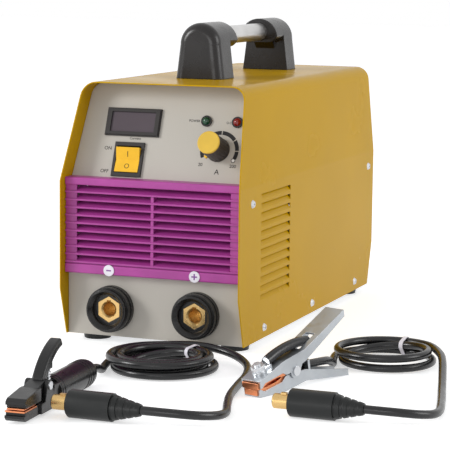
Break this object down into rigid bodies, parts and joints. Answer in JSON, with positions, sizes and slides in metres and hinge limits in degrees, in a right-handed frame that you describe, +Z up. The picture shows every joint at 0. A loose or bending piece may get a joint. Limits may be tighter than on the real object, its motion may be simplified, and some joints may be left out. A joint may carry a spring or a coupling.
{
  "type": "stick welder",
  "caption": "Inverter stick welder in a sheet-metal case with carrying handle, control panel and two sockets, with an electrode-holder lead and an earth-clamp lead.",
  "frame": {"origin": "on the floor, at the middle of the case footprint between the feet", "axes": "+Z up, front panel and sockets towards -Y, and the plus socket on the +X side"},
  "size_m": [0.4348, 0.7606, 0.316],
  "materials": {
    "case_yellow": "semi-gloss powder coat, mustard yellow",
    "panel_grey": "satin light grey paint",
    "plain_steel": "zinc plated sheet",
    "grille_purple": "moulded magenta-purple plastic",
    "label_white": "white printed disc",
    "black_plastic": "black fine-grained plastic",
    "black_gloss": "black plastic",
    "window_dark": "dark tinted filter",
    "yellow_plastic": "bright yellow plastic",
    "lamp_green": "green lens",
    "lamp_red": "red lens",
    "brass": "turned brass",
    "copper": "pressed copper",
    "satin_aluminium": "satin drawn tube",
    "black_rubber": "black rubber",
    "zinc_steel": "bright zinc plated pressing",
    "spring_steel": "spring wire",
    "fastener": "bright plated",
    "board_green": "circuit board",
    "ferrite": "dark ferrite",
    "winding": "enamelled copper",
    "can_blue": "sleeved capacitor can",
    "tie_white": "white nylon"
  },
  "bodies": {
    "machine": {"base_tray": "plain_steel", "busbars": "copper", "capacitors": "can_blue", "clamp_lower_arm": "zinc_steel", "clamp_lower_contact": "copper", "clamp_pivot": "fastener", "clamp_spring": "spring_steel", "coil_ties": "tie_white", "cover": "case_yellow", "display_bezel": "black_plastic", "display_window": "window_dark", "fan_frame": "black_plastic", "fan_guard": "fastener", "fault_lamp": "lamp_red", "feet": "black_rubber", "front_grille": "grille_purple", "front_panel": "panel_grey", "handle_bolts": "fastener", "handle_front_post": "black_plastic", "handle_rear_post": "black_plastic", "handle_tube": "satin_aluminium", "heatsink": "satin_aluminium", "holder_body": "black_plastic", "holder_contact": "copper", "holder_pin": "fastener", "holder_spring": "spring_steel", "lamp_bezels": "black_gloss", "mains_gland": "black_plastic", "minus_cable_coil": "black_rubber", "minus_cable_start": "black_rubber", "minus_cable_tail": "black_rubber", "minus_plug_pin": "brass", "minus_plug_sleeve": "black_rubber", "plus_cable_coil": "black_rubber", "plus_cable_start": "black_rubber", "plus_cable_tail": "black_rubber", "plus_plug_pin": "brass", "plus_plug_sleeve": "black_rubber", "polarity_discs": "label_white", "potentiometer": "plain_steel", "power_board": "board_green", "power_lamp": "lamp_green", "rear_panel": "plain_steel", "screws": "fastener", "socket_minus_body": "black_plastic", "socket_minus_insert": "brass", "socket_plus_body": "black_plastic", "socket_plus_insert": "brass", "switch_housing": "black_gloss", "transformer_core": "ferrite", "transformer_winding": "winding"},
    "rocker": {"switch_rocker": "yellow_plastic"},
    "knob": {"current_knob": "black_plastic", "knob_cap": "yellow_plastic"},
    "fan": {"fan_rotor": "black_plastic"},
    "holder_lever": {"holder_lever": "black_plastic", "lever_contact": "copper"},
    "clamp_arm": {"clamp_upper_arm": "zinc_steel", "clamp_upper_contact": "copper", "clamp_terminal": "fastener"}
  },
  "joints": [
    {"name": "power_switch", "type": "hinge", "parent": "machine", "child": "rocker", "pos_m": [-0.035, -0.1866, 0.18271], "axis": [-1, 0, 0], "range_deg": [0, 16]},
    {"name": "current_dial", "type": "hinge", "parent": "machine", "child": "knob", "pos_m": [0.058, -0.18348, 0.19671], "axis": [0, 0.9363, -0.3511], "range_deg": [0, 270]},
    {"name": "fan_spin", "type": "hinge", "parent": "machine", "child": "fan", "pos_m": [0, 0.17, 0.136], "axis": [0, 1, 0], "continuous": true},
    {"name": "holder_grip", "type": "hinge", "parent": "machine", "child": "holder_lever", "pos_m": [0.01694, -0.49075, 0.02385], "axis": [-0.9986, -0.0523, 0], "range_deg": [0, 18], "stiffness_Nm_per_rad": 2, "springref_deg": -17.19, "deforming": ["holder_spring"]},
    {"name": "clamp_grip", "type": "hinge", "parent": "machine", "child": "clamp_arm", "pos_m": [0.17931, -0.31962, 0.01746], "axis": [-0.9455, 0.3256, 0], "range_deg": [0, 25], "stiffness_Nm_per_rad": 4, "springref_deg": -20.05}
  ]
}
